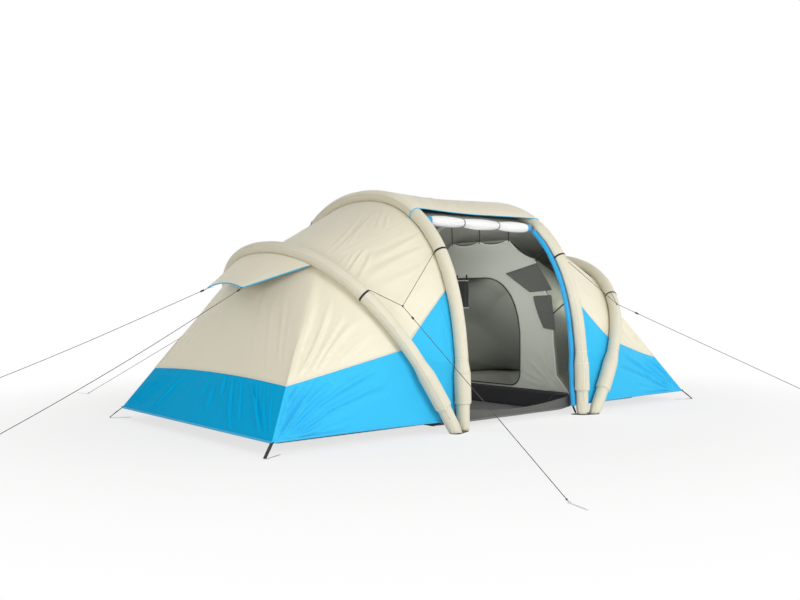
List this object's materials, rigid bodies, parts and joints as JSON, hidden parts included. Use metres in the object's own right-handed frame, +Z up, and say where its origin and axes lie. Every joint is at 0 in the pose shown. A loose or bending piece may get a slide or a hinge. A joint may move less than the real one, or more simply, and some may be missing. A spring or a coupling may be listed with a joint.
{
  "type": "inflatable tent",
  "caption": "Inflatable family tent with air-beam arches, a sleeping pod at each end, a central living area with a rolled-up front door, vent hoods, guylines and pegs.",
  "frame": {"origin": "on the ground, in the middle of the pitched tent, midway between the two main beams", "axes": "+X along the tent from the left pod to the right pod, -Y out of the front door, +Z up"},
  "size_m": [8.2041, 6.7944, 1.9558],
  "materials": {
    "canvas": "woven polyester, coated, light beige",
    "sleeve_fabric": "tight woven beam sleeve, light beige",
    "blue_fabric": "woven polyester, coated, bright blue",
    "inner_fabric": "thin breathable grey polyester",
    "white_fabric": "white coated inner face",
    "groundsheet_fabric": "woven polyethylene sheet, near black",
    "pouch_fabric": "black woven pocket fabric",
    "air_film": "clear-grey welded film",
    "valve_plastic": "black moulded plastic",
    "runner_plastic": "black moulded plastic",
    "cord": "braided black cord",
    "zip_metal": "dark coated zinc",
    "peg_steel": "zinc-plated wire"
  },
  "bodies": {
    "tent": {"sleeve_main_left": "sleeve_fabric", "sleeve_main_right": "sleeve_fabric", "sleeve_end_left": "sleeve_fabric", "sleeve_end_right": "sleeve_fabric", "bladder_main_left": "air_film", "bladder_main_right": "air_film", "bladder_end_left": "air_film", "bladder_end_right": "air_film", "pod_fly_left": "canvas", "pod_fly_right": "canvas", "skirt_left": "blue_fabric", "skirt_right": "blue_fabric", "hood_left": "canvas", "hood_right": "canvas", "roof_canopy": "canvas", "ceiling_panel": "inner_fabric", "rear_door": "canvas", "front_door_roll": "white_fabric", "storm_flap_left": "blue_fabric", "storm_flap_right": "blue_fabric", "groundsheet": "groundsheet_fabric", "bedroom_left": "inner_fabric", "bedroom_right": "inner_fabric", "bedroom_door_roll_right": "inner_fabric", "guyline_front_left": "cord", "guyline_front_right": "cord", "guyline_rear_left": "cord", "guyline_rear_right": "cord", "hood_line_front_left": "cord", "hood_line_front_right": "cord", "hood_line_rear_left": "cord", "hood_line_rear_right": "cord", "peg_front_left": "peg_steel", "peg_front_right": "peg_steel", "peg_rear_left": "peg_steel", "peg_rear_right": "peg_steel", "hood_peg_front_left": "peg_steel", "hood_peg_front_right": "peg_steel", "hood_peg_rear_left": "peg_steel", "hood_peg_rear_right": "peg_steel", "corner_peg_front_left": "peg_steel", "corner_peg_front_right": "peg_steel", "corner_peg_rear_left": "peg_steel", "corner_peg_rear_right": "peg_steel"},
    "valve_cap_main_left": {"valve_cap_main_left": "valve_plastic"},
    "valve_cap_main_right": {"valve_cap_main_right": "valve_plastic"},
    "valve_cap_end_left": {"valve_cap_end_left": "valve_plastic"},
    "valve_cap_end_right": {"valve_cap_end_right": "valve_plastic"},
    "runner_front_left": {"runner_front_left": "runner_plastic"},
    "runner_front_right": {"runner_front_right": "runner_plastic"},
    "runner_rear_left": {"runner_rear_left": "runner_plastic"},
    "runner_rear_right": {"runner_rear_right": "runner_plastic"},
    "hood_runner_front_left": {"hood_runner_front_left": "runner_plastic"},
    "hood_runner_front_right": {"hood_runner_front_right": "runner_plastic"},
    "hood_runner_rear_left": {"hood_runner_rear_left": "runner_plastic"},
    "hood_runner_rear_right": {"hood_runner_rear_right": "runner_plastic"},
    "rear_zip_slider": {"rear_zip_slider": "zip_metal"},
    "bedroom_door_left": {"bedroom_door_left": "inner_fabric"},
    "bedroom_zip_slider_left": {"bedroom_zip_slider_left": "zip_metal"},
    "organiser": {"organiser": "pouch_fabric"}
  },
  "joints": [
    {"name": "valve_cap_main_left_turn", "type": "hinge", "parent": "tent", "child": "valve_cap_main_left", "pos_m": [-0.66121, 1.24196, 0.3275], "axis": [1, 0, 0], "range_deg": [0, 90]},
    {"name": "valve_cap_main_right_turn", "type": "hinge", "parent": "tent", "child": "valve_cap_main_right", "pos_m": [0.66121, 1.24196, 0.3275], "axis": [-1, 0, 0], "range_deg": [0, 90]},
    {"name": "valve_cap_end_left_turn", "type": "hinge", "parent": "tent", "child": "valve_cap_end_left", "pos_m": [-0.98617, 1.27342, 0.36291], "axis": [0.8479, 0, 0.5302], "range_deg": [0, 90]},
    {"name": "valve_cap_end_right_turn", "type": "hinge", "parent": "tent", "child": "valve_cap_end_right", "pos_m": [0.98617, 1.27342, 0.36291], "axis": [-0.8479, 0, 0.5302], "range_deg": [0, 90]},
    {"name": "runner_front_left_slide", "type": "slide", "parent": "tent", "child": "runner_front_left", "axis": [-0.2763, -0.8686, -0.4113], "range_m": [-0.16, 2]},
    {"name": "runner_front_right_slide", "type": "slide", "parent": "tent", "child": "runner_front_right", "axis": [0.2763, -0.8686, -0.4113], "range_m": [-0.16, 2]},
    {"name": "runner_rear_left_slide", "type": "slide", "parent": "tent", "child": "runner_rear_left", "axis": [-0.2763, 0.8686, -0.4113], "range_m": [-0.16, 2]},
    {"name": "runner_rear_right_slide", "type": "slide", "parent": "tent", "child": "runner_rear_right", "axis": [0.2763, 0.8686, -0.4113], "range_m": [-0.16, 2]},
    {"name": "hood_runner_front_left_slide", "type": "slide", "parent": "tent", "child": "hood_runner_front_left", "axis": [-0.8697, -0.2729, -0.4114], "range_m": [-0.01, 0.58]},
    {"name": "hood_runner_front_right_slide", "type": "slide", "parent": "tent", "child": "hood_runner_front_right", "axis": [0.6885, -0.1391, -0.7117], "range_m": [-0.01, 0.29]},
    {"name": "hood_runner_rear_left_slide", "type": "slide", "parent": "tent", "child": "hood_runner_rear_left", "axis": [-0.8697, 0.2729, -0.4114], "range_m": [-0.01, 0.58]},
    {"name": "hood_runner_rear_right_slide", "type": "slide", "parent": "tent", "child": "hood_runner_rear_right", "axis": [0.6885, 0.1391, -0.7117], "range_m": [-0.01, 0.29]},
    {"name": "rear_zip_slide", "type": "slide", "parent": "tent", "child": "rear_zip_slider", "axis": [1, 0, 0], "range_m": [-1.12, 0.08]},
    {"name": "bedroom_door_left_swing", "type": "hinge", "parent": "tent", "child": "bedroom_door_left", "pos_m": [-0.7277, 0.462, 0.7], "axis": [0, 0, 1], "range_deg": [0, 90]},
    {"name": "bedroom_zip_left_slide", "type": "slide", "parent": "bedroom_door_left", "child": "bedroom_zip_slider_left", "axis": [0, 1, 0], "range_m": [0, 0.76]},
    {"name": "organiser_swing", "type": "hinge", "parent": "tent", "child": "organiser", "pos_m": [0.7277, 0.247, 1.25], "axis": [0, 1, 0], "range_deg": [0, 60]}
  ]
}
